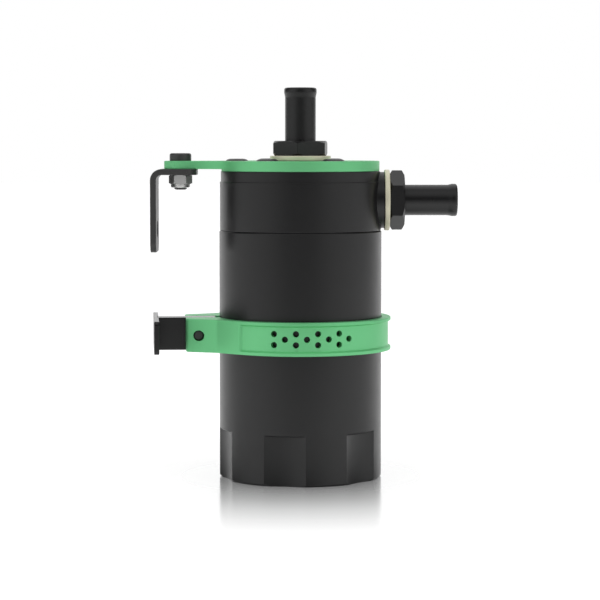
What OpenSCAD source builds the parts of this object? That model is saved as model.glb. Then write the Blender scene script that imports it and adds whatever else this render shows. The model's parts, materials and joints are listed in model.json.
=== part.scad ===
// Oil catch can for an engine bay: a turned can that screws up into a ported head,
// a bracket plate with an L-bracket on its tip, and a split collar with a T-shaped foot.
// Millimetres. +Z is up, and the origin is the middle of the can's underside.
// The bracket arm and the collar's ears point along -X, the side port along +X.

/* [Can] */
// Outside diameter of the can
can_d = 63.5; // [60:0.5:72]
// Height of the can, up to the joint with the head
can_h = 97; // [90:1:120]
// Bore of the can below its thread
can_bore_d = 54.4; // [50:0.2:55]
// Thickness of the can's floor
can_floor = 5; // [3:0.5:8]
// Chamfer round the can's bottom edge
can_foot_chamfer = 0.8; // [0.4:0.1:1.5]
// Chamfer round the can's top edge
can_lip_chamfer = 0.5; // [0.2:0.1:0.7]
// Bore of the can's threaded mouth
mouth_d = 57.2; // [56.2:0.2:58]
// Depth of the can's threaded mouth
mouth_depth = 10.5; // [10:0.5:14]

/* [Grip flutes] */
// Number of hollow flutes round the foot of the can
flute_count = 6; // [4:1:8]
// Height of the flutes
flute_h = 19.2; // [12:0.2:26]
// How deep each flute cuts into the can
flute_depth = 2.2; // [1:0.1:2.6]
// Radius of the hollow of a flute
flute_r = 30; // [24:1:40]
// Angle of the first flute from +X
flute_start = 18.8; // [0:0.1:59]

/* [Sealing ring] */
// Thickness of the O-ring's section
oring_d = 1.6; // [1.2:0.1:1.8]
// Room between the O-ring and the recess that it lies in
oring_gap = 0.1; // [0.05:0.05:0.2]

/* [Head] */
// Outside diameter of the head
head_d = 63; // [60:0.5:71]
// Height of the head above the can
head_h = 23; // [23:0.5:28]
// Height of the narrower band at the head's top
head_band_h = 4.1; // [2:0.1:5]
// How much the band steps in
head_band_step = 0.4; // [0.2:0.1:0.8]
// Length of the threaded spigot below the joint
spigot_len = 10; // [8:0.5:10]
// Radial clearance of the spigot in the can's mouth
spigot_clear = 0.1; // [0.05:0.01:0.1]
// Outside diameter of the side port's boss
side_boss_d = 22; // [20.5:0.5:22.5]
// Distance from the can's axis to the side boss's face
side_boss_reach = 32.8; // [32.6:0.1:36]
// Drop of the side port's axis below the head's top
side_port_drop = 11.3; // [11:0.1:11.8]
// Diameter of the raised seat round the top port
top_seat_d = 24.4; // [24:0.1:25]
// Diameter of the gas chamber inside the head
chamber_d = 44.8; // [40:0.2:45]
// Thickness of the roof over the gas chamber
chamber_roof = 9; // [8.5:0.5:10]
// Diameter of the post in the middle of the chamber
post_d = 26; // [24:0.5:28]
// Gap between the post's foot and the baffle plate
post_rise = 2; // [1:0.5:4]
// Diameter of the passage from the filter to the top port
passage_d = 11; // [8:0.5:13]

/* [Hose fittings] */
// Diameter of the ports' threads
port_d = 16.7; // [16:0.1:17.2]
// Radial clearance of a fitting's thread in its port
port_clear = 0.05; // [0.02:0.01:0.1]
// Depth of each port
port_depth = 14; // [13:0.5:14.5]
// Width across the flats of a fitting's hexagon
hex_af = 20.2; // [19:0.1:21]
// Thickness of the hexagon
hex_h = 5.8; // [4:0.1:8]
// Turn of the top fitting's hexagon about its axis
top_hex_turn = 24.5; // [0:0.5:59]
// Turn of the side fitting's hexagon about its axis
side_hex_turn = 0; // [0:0.5:59]
// Outside diameter of the hose tail
tail_d = 12; // [11:0.5:14]
// Length of the hose tail
tail_len = 20.7; // [16:0.1:30]
// Outside diameter of the bead at the tail's tip
bead_d = 12.7; // [12.7:0.1:15]
// Width of the bead
bead_w = 2.3; // [1.5:0.1:3]
// Bore through a fitting
tail_bore_d = 9; // [7:0.5:9.5]
// Length of a fitting's threaded stub below its seal
stub_len = 10; // [8:0.5:10.5]

/* [Bonded seals] */
// Outside diameter of a bonded seal
seal_d = 23.8; // [22:0.1:24]
// Thickness of a bonded seal
seal_t = 2; // [1.5:0.1:2.5]
// Width of the rubber lip inside the seal
lip_w = 0.95; // [0.8:0.05:1.5]

/* [Filter and baffle] */
// Outside diameter of the filter
filter_d = 21; // [18:0.5:21.5]
// Length of the filter below the post
filter_len = 36; // [20:1:50]
// Diameter of the filter's neck
filter_neck_d = 16; // [14:0.5:17]
// Length of the filter's neck
filter_neck_len = 9; // [6:0.5:9.5]
// Diameter of the baffle plate
baffle_d = 53; // [51.5:0.1:53]
// Thickness of the baffle plate
baffle_t = 2; // [1.5:0.1:3]
// Number of holes round the baffle plate
baffle_holes = 12; // [8:1:14]
// Diameter of a hole in the baffle plate
baffle_hole_d = 4.4; // [2:0.2:4.6]

/* [Bracket plate] */
// Diameter of the plate's disc
plate_d = 61.8; // [60:0.2:63]
// Thickness of the disc
plate_t = 4; // [3.5:0.1:5]
// How far the arm's underside is cut up from the disc's
arm_relief = 0.85; // [0.5:0.05:1.5]
// Distance from the pivot bolt's axis to the arm's tip
arm_tip = 6.2; // [5.6:0.1:9]
// Half width of the arm at its neck
neck_half_w = 6.2; // [5:0.1:7]
// Radius of the hollow sides that run from the disc to the tip
arm_hollow_r = 16; // [14:0.5:18]
// Half width of the pad at the arm's tip
pad_half_w = 8.5; // [7.5:0.1:10]
// Corner cut at the arm's tip
pad_corner = 4.2; // [2:0.1:5]
// Pitch circle of the four screws round the top port
screw_pcd = 36; // [36:0.2:38]
// Distance from the can's axis to the fifth screw
arm_screw_x = 24.8; // [24:0.1:26]
// Diameter of the plate screws' threads
screw_d = 5; // [4:0.5:5]
// Diameter of the plate screws' round heads
screw_head_d = 9.5; // [8:0.1:9.5]
// Height of the plate screws' heads
screw_head_h = 2.75; // [2:0.05:3]
// Depth of the seat that each head sits in
screw_seat = 1.9; // [1:0.1:2.5]
// Length of thread below the plate
screw_grip = 7; // [5:0.5:7.5]

/* [L-bracket and its bolt] */
// Thickness of the folded sheet
sheet_t = 2.3; // [2:0.1:3]
// Width of the L-bracket
angle_w = 18; // [16:0.5:22]
// Clear room between the locking nut and the upright leg
leg_room = 4.5; // [3.5:0.1:10]
// Distance from the pivot bolt's axis to the flat leg's end
angle_toe = 6.6; // [6:0.1:9]
// Height of the upright leg
angle_drop = 32.5; // [26:0.5:34]
// Outer radius of the fold
fold_r = 5.5; // [4:0.1:6]
// Corner radius of the legs' ends
angle_corner = 4; // [1:0.5:5]
// Distance from the can's axis to the pivot bolt
pivot_x = 46.9; // [46.4:0.1:48]
// Diameter of the pivot bolt
pivot_d = 5; // [4:0.5:5]
// Radial clearance of the bolt in its holes
pivot_clear = 0.08; // [0.05:0.01:0.1]
// Diameter of the pivot bolt's head
pivot_head_d = 8.5; // [8:0.1:9]
// Height of the pivot bolt's head
pivot_head_h = 3; // [2.5:0.1:5]
// Width across the flats of the locking nut
nut_af = 8; // [7.5:0.1:9]
// Height of the locking nut
nut_h = 5; // [4.5:0.1:6]
// Height of the nut's round crown
crown_h = 1.4; // [1:0.1:2]
// How far the bolt shows below the nut
bolt_show = 0.8; // [0.4:0.1:3]
// Diameter of the fixing hole in the upright leg
fixing_d = 6.6; // [5.5:0.1:8.4]
// Height of the fixing hole above the leg's lower end
fixing_rise = 9; // [7:0.5:12]

/* [Collar] */
// Radial clearance between the can and the collar
collar_clear = 0.1; // [0.05:0.01:0.1]
// Thickness of the collar's wall
collar_wall = 3.55; // [3:0.05:4.5]
// Height of the collar
collar_h = 12.8; // [12:0.2:16]
// Height of the collar's middle above the can's underside
collar_z = 56.8; // [50:0.1:60]
// Turn of the collar and its foot about the can, away from the arm
collar_turn = 4.2; // [-15:0.1:15]
// Height of the long recess round the collar
recess_h = 8.5; // [7:0.1:9]
// Depth of the recess
recess_depth = 1; // [0.4:0.1:1.4]
// Angle that the recess runs to on each side of +X
recess_half = 136; // [125:1:138]
// Diameter of the vent holes
vent_d = 2.4; // [1.5:0.1:2.8]
// Number of columns of vent holes on each side
vent_columns = 8; // [4:1:9]
// Angle from +X to the first column
vent_start = 61.8; // [58:0.1:64]
// Angle between columns
vent_step = 7.05; // [6.8:0.05:7.4]
// Height of the paired holes above and below the middle
vent_rise = 2.1; // [1.8:0.1:2.4]
// Angle at which the ears leave the ring, from -X
ear_angle = 46.6; // [44:0.2:48]
// Distance from the clamp screw's axis to the ears' ends
ear_tip = 4.8; // [4.5:0.1:7]
// Half width across the ears at their knee
ear_knee_half_w = 17; // [16:0.1:18]
// Half width across the ears at their ends
ear_half_w = 11.8; // [11.5:0.1:13]
// Corner radius of the ears' ends
ear_corner = 2; // [1:0.1:3]

/* [Collar foot] */
// Thickness of the web between the ears
web_t = 8; // [7:0.1:9]
// Gap between the web and each ear
web_gap = 0.05; // [0.02:0.01:0.1]
// Gap between the web's inner end and the can
web_back = 1.75; // [1:0.05:3]
// Distance from the ears' ends to the flange
web_reach = 10.5; // [6:0.1:14]
// Thickness of the flange
flange_t = 2; // [1.5:0.1:4]
// Length of the flange
flange_w = 50; // [44:1:60]
// Height of the foot
foot_h = 12.7; // [12:0.1:16]
// Corner radius of the flange's ends
flange_corner = 1.5; // [1:0.1:3]
// Distance between the flange's holes
flange_pitch = 36; // [32:1:40]
// Diameter of the flange's holes
flange_hole_d = 5.5; // [4.5:0.1:6.5]
// Distance from the can's side to the clamp screw's axis
clamp_room = 8.55; // [8:0.05:10]
// Diameter of the clamp screw
clamp_d = 4; // [3:0.5:4]
// Radial clearance of the clamp screw in its holes
clamp_clear = 0.1; // [0.05:0.01:0.15]
// Diameter of the clamp screw's head
clamp_head_d = 7; // [6.5:0.1:7.5]
// Height of the clamp screw's head
clamp_head_h = 4; // [3:0.1:4]
// How far the screw's tip stops short of the front ear's face
clamp_short = 2; // [1:0.1:4]

/* [Hidden] */
$fn = 96;
cut = 0.5;              // how far a cutting shape runs past the face it cuts
black = "#161617";
green = "#3fae6a";
dark_steel = "#2b2b2d";
zinc = "#c9c9c6";
yellow_zinc = "#d3c9a4";
rubber = "#101010";
bronze = "#a98552";
bare_metal = "#b9bbbd";

can_r = can_d / 2;
mouth_r = mouth_d / 2;
spigot_r = mouth_r - spigot_clear;
head_r = head_d / 2;
head_top = can_h + head_h;
chamber_top = head_top - chamber_roof;
chamber_r = chamber_d / 2;
spigot_end = can_h - spigot_len;
post_end = spigot_end + post_rise;
edge = 0.4;             // small chamfer on turned edges

oring_seat_in = spigot_r + 2 * oring_gap;
oring_mid = oring_seat_in + oring_d / 2;
oring_recess_r = oring_mid + oring_d / 2 + oring_gap;
oring_recess_depth = oring_d + 3 * oring_gap;

port_r = port_d / 2;
plate_top = head_top + plate_t;
side_port_z = head_top - side_port_drop;
tail_r = tail_d / 2;
seal_r = seal_d / 2;
lip_in = port_r + port_clear;
lip_out = lip_in + lip_w;
bond_gap = 0.02;        // between a seal's rubber lip and its washer

baffle_top = spigot_end;
baffle_bottom = baffle_top - baffle_t;
baffle_screw_ring = (chamber_r + spigot_r) / 2 - 1.05;
baffle_screw_r = 1.5;
baffle_screw_head_r = 2.25;
baffle_screw_head_h = 1.6;
baffle_screw_len = 6;
baffle_hole_ring = (chamber_r + post_d / 2) / 2;
filter_room = 0.5;      // round the filter where it passes the baffle plate
fit_gap = 0.05;         // between a thread and the hole that holds it

screw_hole_gap = 0.1;
arm_under = head_top + arm_relief;
hollow_y = neck_half_w + arm_hollow_r;
hollow_x = sqrt(pow(plate_d / 2 + arm_hollow_r, 2) - pow(hollow_y, 2));
tangent_share = (plate_d / 2) / (plate_d / 2 + arm_hollow_r);

arm_reach = pivot_x + arm_tip;
angle_reach = pivot_x + nut_af / 2 / cos(30) + leg_room + sheet_t;
angle_flat = angle_reach - pivot_x + angle_toe;
angle_top = arm_under;
angle_bottom = angle_top - angle_drop;
nut_top = angle_top - sheet_t;
nut_bottom = nut_top - nut_h;
pivot_r = pivot_d / 2;

collar_in = can_r + collar_clear;
collar_out = collar_in + collar_wall;
slot_half = web_t / 2 + web_gap;
clamp_x = can_r + clamp_room;
ear_reach = clamp_x + ear_tip;
flange_reach = ear_reach + web_reach + flange_t;
knee_run = (ear_knee_half_w - collar_out * sin(ear_angle)) / -cos(ear_angle);
knee_x = collar_out * cos(ear_angle) + knee_run * sin(ear_angle);
ear_slope = (ear_knee_half_w - ear_half_w) / (ear_reach - knee_x);
clamp_ear_y = ear_knee_half_w - ear_slope * (clamp_x - knee_x);
clamp_seat_y = clamp_ear_y - clamp_head_h - ear_slope * clamp_head_d / 2 - 0.4;

// Turning blank: a cylinder along Z whose two edges are chamfered
module turned(r, h, low = 0, high = 0) {
    rotate_extrude()
        polygon([[0, 0], [r - low, 0], [r, low], [r, h - high], [r - high, h], [0, h]]);
}

// Hexagon bar along Z, with the corners turned off at both faces as on a nut
module hex_bar(af, h) {
    corner_r = af / 2 / cos(30);
    fall = (corner_r - af / 2) * 0.6;
    intersection() {
        cylinder(r = corner_r, h = h, $fn = 6);
        turned(corner_r, h, fall, fall);
    }
}

// A screw along -Z with its head's seat at z = 0: a low domed head with a hexagon socket
module button_screw(head_r, head_h, shank_r, len, socket_af) {
    dome = head_h * 0.55;
    difference() {
        union() {
            rotate_extrude()
                polygon([[0, 0], [head_r, 0], [head_r, head_h - dome],
                    for (a = [15 : 15 : 75])
                        [head_r - 0.38 * head_r * (1 - cos(a)), head_h - dome + dome * sin(a)],
                    [head_r * 0.62, head_h], [0, head_h]]);
            translate([0, 0, -len]) turned(shank_r, len + cut, 0.5, 0);
        }
        translate([0, 0, head_h - head_h * 0.55])
            cylinder(r = socket_af / 2 / cos(30), h = head_h, $fn = 6);
    }
}

// A screw along -Z with its head's seat at z = 0: a straight-sided head with a hexagon socket
module cap_screw(head_r, head_h, shank_r, len, socket_af) {
    difference() {
        union() {
            turned(head_r, head_h, 0, 0.35);
            translate([0, 0, -len]) turned(shank_r, len + cut, 0.5, 0);
        }
        translate([0, 0, head_h * 0.4])
            cylinder(r = socket_af / 2 / cos(30), h = head_h, $fn = 6);
    }
}

// The can: turned from bar, with hollow flutes round its foot for a hand to turn it by
module can_body() {
    color(black) difference() {
        turned(can_r, can_h, can_foot_chamfer, can_lip_chamfer);
        translate([0, 0, can_floor]) cylinder(d = can_bore_d, h = can_h);
        translate([0, 0, can_h - mouth_depth]) cylinder(r = mouth_r, h = mouth_depth + cut);
        translate([0, 0, can_h - oring_recess_depth])
            cylinder(r = oring_recess_r, h = oring_recess_depth + cut);
        for (i = [0 : flute_count - 1])
            rotate([0, 0, flute_start + i * 360 / flute_count])
                translate([can_r - flute_depth + flute_r, 0, -cut])
                    cylinder(r = flute_r, h = flute_h + cut, $fn = 180);
    }
}

// The head: a turned cap with a threaded spigot, a gas chamber round a post, and two ports
module head() {
    color(black) difference() {
        union() {
            translate([0, 0, can_h]) turned(head_r, head_h - head_band_h, edge, 0);
            translate([0, 0, head_top - head_band_h - cut])
                turned(head_r - head_band_step, head_band_h + cut, 0, edge);
            translate([0, 0, spigot_end]) turned(spigot_r, spigot_len + cut, 0.6, 0);
            translate([0, 0, head_top - cut]) turned(top_seat_d / 2, plate_t + cut, 0, 0.2);
            translate([0, 0, side_port_z]) rotate([0, 90, 0])
                translate([0, 0, chamber_r]) turned(side_boss_d / 2, side_boss_reach - chamber_r, 0, edge);
        }
        difference() {
            translate([0, 0, spigot_end - cut])
                cylinder(r = chamber_r, h = chamber_top - spigot_end + cut);
            translate([0, 0, post_end]) cylinder(d = post_d, h = chamber_top - post_end + cut);
        }
        translate([0, 0, plate_top - port_depth]) cylinder(r = port_r, h = port_depth + cut);
        translate([0, 0, post_end - cut]) cylinder(d = passage_d, h = plate_top - post_end);
        translate([0, 0, post_end - cut])
            cylinder(r = filter_neck_d / 2 + fit_gap, h = filter_neck_len + 2 * cut);
        translate([side_boss_reach - port_depth, 0, side_port_z]) rotate([0, 90, 0])
            cylinder(r = port_r, h = port_depth + cut);
        at_plate_screws() translate([0, 0, head_top - screw_grip - 0.5])
            cylinder(r = screw_d / 2 + fit_gap, h = screw_grip + 0.5 + cut);
        at_baffle_screws() translate([0, 0, spigot_end - cut])
            cylinder(r = baffle_screw_r + fit_gap, h = baffle_screw_len + cut);
    }
}

// The O-ring in the can's mouth, just clear of the recess and of the spigot
module can_o_ring() {
    color(rubber) translate([0, 0, can_h - oring_recess_depth + oring_gap + oring_d / 2])
        rotate_extrude() translate([oring_mid, 0]) circle(d = oring_d, $fn = 24);
}

// Places the plate's five screws: four round the top port, one at the root of the arm
module at_plate_screws() {
    for (i = [0 : 3]) rotate([0, 0, 45 + 90 * i]) translate([screw_pcd / 2, 0, 0]) children();
    translate([-arm_screw_x, 0, 0]) children();
}

// Places the three screws under the baffle plate
module at_baffle_screws() {
    for (i = [0 : 2]) rotate([0, 0, 90 + 120 * i]) translate([baffle_screw_ring, 0, 0]) children();
}

// Outline of the arm: hollow sides that leave the disc on a tangent and flare to the pad
module arm_outline() {
    tangent = [-hollow_x * tangent_share, hollow_y * tangent_share];
    half = [[-arm_reach, pad_half_w - pad_corner], [-arm_reach + pad_corner, pad_half_w],
        [-hollow_x, pad_half_w], tangent, [0, tangent[1]]];
    difference() {
        polygon(concat(half, [for (i = [4 : -1 : 0]) [half[i][0], -half[i][1]]]));
        for (side = [-1, 1])
            translate([-hollow_x, side * hollow_y]) circle(r = arm_hollow_r, $fn = 180);
    }
}

// The bracket plate: a disc screwed on the head, with an arm cut thinner from below
module bracket_plate() {
    color(green) difference() {
        union() {
            translate([0, 0, head_top]) turned(plate_d / 2, plate_t, edge, edge);
            translate([0, 0, arm_under]) linear_extrude(plate_t - arm_relief) arm_outline();
        }
        translate([0, 0, head_top - cut])
            cylinder(r = top_seat_d / 2 + screw_hole_gap, h = plate_t + 2 * cut);
        at_plate_screws() {
            translate([0, 0, head_top - cut])
                cylinder(r = screw_d / 2 + screw_hole_gap, h = plate_t + 2 * cut);
            translate([0, 0, plate_top - screw_seat])
                cylinder(r = screw_head_d / 2 + screw_hole_gap, h = screw_seat + cut);
        }
        translate([-pivot_x, 0, head_top])
            cylinder(r = pivot_r + pivot_clear, h = plate_t + cut);
    }
}

module plate_screws() {
    color(dark_steel) at_plate_screws() translate([0, 0, plate_top - screw_seat])
        button_screw(screw_head_d / 2, screw_head_h, screw_d / 2,
            plate_t - screw_seat + screw_grip, 3);
}

// One hose fitting along Z with the seal's outer face at z = 0
module hose_fitting(turn) {
    groove = 1.2;
    difference() {
        union() {
            translate([0, 0, -seal_t - stub_len])
                turned(port_r - port_clear, seal_t + stub_len - groove, 0.8, 0.4);
            translate([0, 0, -groove - cut]) cylinder(r = port_r - 0.9, h = groove + 2 * cut);
            rotate([0, 0, turn]) hex_bar(hex_af, hex_h);
            translate([0, 0, hex_h - cut]) cylinder(r = tail_r, h = tail_len + cut - bead_w / 2);
            translate([0, 0, hex_h + tail_len - bead_w]) turned(bead_d / 2, bead_w, 0.3, 0.5);
        }
        translate([0, 0, -seal_t - stub_len - cut])
            cylinder(d = tail_bore_d, h = seal_t + stub_len + hex_h + tail_len + 2 * cut);
    }
}

module at_top_port() { translate([0, 0, plate_top + seal_t]) children(); }

module at_side_port() {
    translate([side_boss_reach + seal_t, 0, side_port_z]) rotate([0, 90, 0]) children();
}

// The metal ring of a bonded seal, which lies below z = 0
module seal_washer() {
    translate([0, 0, -seal_t]) difference() {
        turned(seal_r, seal_t, 0.2, 0.2);
        translate([0, 0, -cut]) cylinder(r = lip_out, h = seal_t + 2 * cut);
    }
}

// The rubber lip bonded inside that ring
module seal_lip() {
    translate([0, 0, -seal_t]) rotate_extrude()
        polygon([[lip_in, seal_t * 0.3], [lip_out - bond_gap, 0], [lip_out - bond_gap, seal_t],
            [lip_in, seal_t * 0.7]]);
}

module top_fitting() { color(black) at_top_port() hose_fitting(top_hex_turn); }
module top_seal_washer() { color(yellow_zinc) at_top_port() seal_washer(); }
module top_seal_lip() { color(rubber) at_top_port() seal_lip(); }
module side_fitting() { color(black) at_side_port() hose_fitting(side_hex_turn); }
module side_seal_washer() { color(yellow_zinc) at_side_port() seal_washer(); }
module side_seal_lip() { color(rubber) at_side_port() seal_lip(); }

// The filter: a porous bronze cup, open upward, screwed into the head's post
module filter() {
    color(bronze) translate([0, 0, post_end - filter_len]) difference() {
        union() {
            turned(filter_d / 2, filter_len, 2, 0);
            translate([0, 0, filter_len - cut])
                turned(filter_neck_d / 2, filter_neck_len + cut, 0, 0.5);
        }
        translate([0, 0, 3]) cylinder(d = passage_d, h = filter_len + filter_neck_len);
    }
}

// The baffle plate under the chamber, with a ring of holes and a hole for the filter
module baffle_plate() {
    color(bare_metal) difference() {
        translate([0, 0, baffle_bottom]) turned(baffle_d / 2, baffle_t, 0.3, 0.3);
        translate([0, 0, baffle_bottom - cut]) {
            cylinder(r = filter_d / 2 + filter_room, h = baffle_t + 2 * cut);
            for (i = [0 : baffle_holes - 1]) rotate([0, 0, (i + 0.5) * 360 / baffle_holes])
                translate([baffle_hole_ring, 0, 0])
                    cylinder(d = baffle_hole_d, h = baffle_t + 2 * cut, $fn = 32);
            at_baffle_screws()
                cylinder(r = baffle_screw_r + screw_hole_gap, h = baffle_t + 2 * cut, $fn = 32);
        }
    }
}

module baffle_screws() {
    color(zinc) at_baffle_screws() translate([0, 0, baffle_bottom]) mirror([0, 0, 1])
        cap_screw(baffle_screw_head_r, baffle_screw_head_h, baffle_screw_r,
            baffle_t + baffle_screw_len - 0.5, 2);
}

module pivot_bolt() {
    color(dark_steel) translate([-pivot_x, 0, plate_top])
        cap_screw(pivot_head_d / 2, pivot_head_h, pivot_r,
            plate_top - nut_bottom + bolt_show, 3);
}

// The locking nut: a hexagon with a round crown that holds the plastic insert
module lock_nut() {
    hex = nut_h - crown_h;
    color(zinc) translate([-pivot_x, 0, nut_bottom]) difference() {
        union() {
            translate([0, 0, crown_h]) hex_bar(nut_af, hex);
            turned(nut_af / 2 - 0.2, crown_h + cut, 0.6, 0);
        }
        translate([0, 0, -cut]) cylinder(r = pivot_r + fit_gap, h = nut_h + 2 * cut, $fn = 48);
        translate([0, 0, -cut]) cylinder(r = nut_af / 2 - 0.9, h = crown_h + cut, $fn = 48);
    }
}

module lock_nut_insert() {
    color("#e8e6df") translate([-pivot_x, 0, nut_bottom + 0.2]) difference() {
        cylinder(r = nut_af / 2 - 0.9 - bond_gap, h = crown_h - 0.2, $fn = 48);
        translate([0, 0, -cut]) cylinder(r = pivot_r + fit_gap, h = crown_h + 2 * cut, $fn = 48);
    }
}

// Section of the folded sheet, seen along Y, with its outer corner at the origin
module fold_section() {
    difference() {
        union() {
            translate([fold_r, -sheet_t]) square([angle_flat - fold_r, sheet_t]);
            translate([0, -angle_drop]) square([sheet_t, angle_drop - fold_r]);
            translate([fold_r, -fold_r]) intersection() {
                circle(r = fold_r);
                translate([-fold_r, 0]) square(fold_r);
            }
        }
        translate([fold_r, -fold_r]) circle(r = fold_r - sheet_t);
    }
}

// Rounded rectangle, centred on the origin
module round_rect(w, h, r) {
    square([w - 2 * r, h], center = true);
    square([w, h - 2 * r], center = true);
    for (x = [-1, 1], y = [-1, 1]) translate([x * (w / 2 - r), y * (h / 2 - r)]) circle(r = r, $fn = 48);
}

// The L-bracket: one folded strip, with round corners, a pivot hole and a fixing hole
module angle_bracket() {
    color(dark_steel) difference() {
        intersection() {
            translate([-angle_reach, 0, angle_top]) rotate([90, 0, 0])
                linear_extrude(angle_w, center = true) fold_section();
            union() {
                translate([-angle_reach - cut + angle_flat / 2 + cut, 0, angle_top - fold_r])
                    linear_extrude(fold_r + cut) round_rect(angle_flat, angle_w, angle_corner);
                translate([-angle_reach - cut, 0, angle_top - fold_r - 1]) rotate([0, 90, 0])
                    linear_extrude(fold_r + cut) square([2 * fold_r, angle_w], center = true);
                translate([-angle_reach - cut, 0, angle_top - angle_drop / 2]) rotate([0, 90, 0])
                    linear_extrude(sheet_t + 2 * cut) round_rect(angle_drop, angle_w, angle_corner);
            }
        }
        translate([-pivot_x, 0, angle_top - sheet_t - cut])
            cylinder(r = pivot_r + pivot_clear, h = sheet_t + 2 * cut);
        translate([-angle_reach - cut, 0, angle_bottom + fixing_rise]) rotate([0, 90, 0])
            cylinder(d = fixing_d, h = sheet_t + 2 * cut);
    }
}

// Outline of the ears, seen from above: flat flanks with a knee, and round ends
module ears_outline() {
    root = [-collar_out * cos(ear_angle), collar_out * sin(ear_angle)];
    knee = [-knee_x, ear_knee_half_w];
    end = [-ear_reach + ear_corner, ear_half_w + ear_slope * ear_corner];
    half = [root, knee, end, [-ear_reach, ear_half_w - ear_corner]];
    difference() {
        union() {
            polygon(concat(half, [for (i = [3 : -1 : 0]) [half[i][0], -half[i][1]]]));
            for (side = [-1, 1])
                translate([-ear_reach + ear_corner, side * (ear_half_w - ear_corner + ear_slope * ear_corner)])
                    circle(r = ear_corner, $fn = 48);
        }
        circle(r = collar_in + collar_wall / 2);
    }
}

// The recess: a long sector cut into the collar's outer face, centred on +X
module recess() {
    rotate([0, 0, -recess_half]) rotate_extrude(angle = 2 * recess_half)
        translate([collar_out - recess_depth, -recess_h / 2]) square([recess_depth + cut, recess_h]);
}

// Vent holes on both flanks: columns of one and two holes by turns
module vents() {
    for (side = [-1, 1], i = [0 : vent_columns - 1])
        rotate([0, 0, side * (vent_start + vent_step * i)])
            for (rise = i % 2 == 0 ? [0] : [-vent_rise, vent_rise])
                translate([collar_in - cut, 0, rise]) rotate([0, 90, 0])
                    cylinder(d = vent_d, h = collar_wall + 2 * cut, $fn = 24);
}

module at_clamp_screw() { translate([-clamp_x, 0, collar_z]) rotate([-90, 0, 0]) children(); }

// The collar's three pieces sit turned about the can, as the clamp lets them
module turned_with_collar() { rotate([0, 0, collar_turn]) children(); }

// The split collar that grips the can
module collar() {
    color(green) turned_with_collar() difference() {
        translate([0, 0, collar_z]) difference() {
            union() {
                translate([0, 0, -collar_h / 2]) turned(collar_out, collar_h, edge, edge);
                translate([0, 0, -collar_h / 2]) linear_extrude(collar_h) ears_outline();
            }
            translate([0, 0, -collar_h]) cylinder(r = collar_in, h = 2 * collar_h);
            translate([-2 * ear_reach, -slot_half, -collar_h])
                cube([2 * ear_reach, 2 * slot_half, 2 * collar_h]);
            recess();
            vents();
        }
        at_clamp_screw() {
            translate([0, 0, -2 * ear_half_w])
                cylinder(r = clamp_d / 2 + clamp_clear, h = 4 * ear_half_w);
            translate([0, 0, clamp_seat_y])
                cylinder(r = clamp_head_d / 2 + 0.25, h = 2 * ear_half_w);
        }
    }
}

// The T-shaped foot: a web held between the ears, and a flange to bolt to the vehicle
module collar_foot() {
    flange_in = flange_reach - flange_t;
    web_end = can_r + web_back;
    color(black) turned_with_collar() difference() {
        union() {
            translate([-flange_in - cut, -web_t / 2, collar_z - foot_h / 2])
                cube([flange_in - web_end + cut, web_t, foot_h]);
            translate([-flange_reach, 0, collar_z]) rotate([0, 90, 0])
                linear_extrude(flange_t) round_rect(foot_h, flange_w, flange_corner);
        }
        at_clamp_screw() translate([0, 0, -web_t])
            cylinder(r = clamp_d / 2 + clamp_clear, h = 2 * web_t);
        for (side = [-1, 1])
            translate([-flange_reach - cut, side * flange_pitch / 2, collar_z]) rotate([0, 90, 0])
                cylinder(d = flange_hole_d, h = flange_t + 2 * cut);
    }
}

module clamp_screw() {
    color(dark_steel) turned_with_collar() at_clamp_screw() translate([0, 0, clamp_seat_y])
        cap_screw(clamp_head_d / 2, clamp_head_h, clamp_d / 2,
            clamp_seat_y + clamp_ear_y - clamp_short, 3);
}

can_body();
head();
can_o_ring();
bracket_plate();
plate_screws();
top_fitting();
top_seal_washer();
top_seal_lip();
side_fitting();
side_seal_washer();
side_seal_lip();
filter();
baffle_plate();
baffle_screws();
pivot_bolt();
lock_nut();
lock_nut_insert();
angle_bracket();
collar();
collar_foot();
clamp_screw();
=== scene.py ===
import json
from math import acos, asin, atan2, ceil, cos, degrees, hypot, pi, radians, sin, sqrt, tan

import bmesh
import bpy
from mathutils import Matrix, Vector


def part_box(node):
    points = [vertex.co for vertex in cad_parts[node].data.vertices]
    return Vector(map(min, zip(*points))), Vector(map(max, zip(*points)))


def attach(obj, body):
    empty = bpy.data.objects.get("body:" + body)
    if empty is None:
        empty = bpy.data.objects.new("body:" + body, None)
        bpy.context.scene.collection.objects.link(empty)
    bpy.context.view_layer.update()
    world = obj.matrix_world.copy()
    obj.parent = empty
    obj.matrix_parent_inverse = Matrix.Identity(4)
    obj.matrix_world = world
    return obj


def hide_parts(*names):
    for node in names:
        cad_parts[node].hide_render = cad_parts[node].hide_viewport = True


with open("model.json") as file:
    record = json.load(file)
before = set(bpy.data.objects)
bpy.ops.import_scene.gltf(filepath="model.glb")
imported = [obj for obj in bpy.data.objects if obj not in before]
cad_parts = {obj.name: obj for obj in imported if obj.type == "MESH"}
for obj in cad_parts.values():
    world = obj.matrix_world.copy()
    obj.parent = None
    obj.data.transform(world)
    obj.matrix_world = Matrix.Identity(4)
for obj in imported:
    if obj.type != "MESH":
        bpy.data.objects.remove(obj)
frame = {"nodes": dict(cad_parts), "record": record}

# The oil catch can, dressed for its photograph: turned, milled and folded pieces in satin
# finishes, on a white table in front of a white backdrop. Everything is in metres.

MM = 0.001
STEPS = 240            # facets round a large turned piece
HOLE_STEPS = 64        # facets round a hole
EDGE_STEPS = 4         # facets across a rounded edge
WELD = 0.002 * MM      # points nearer than this become one
CREASE = radians(28)   # edges that turn more than this stay sharp
CORNER_START = 0.985   # a hexagon's corners are turned down from this share of its half width
CORNER_FALL = 0.6      # and fall this much for each step outwards
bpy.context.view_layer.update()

# The body that each node rides on
home = {node: body for body, nodes in frame["record"]["behaviour"]["bodies"].items() for node in nodes}

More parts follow.
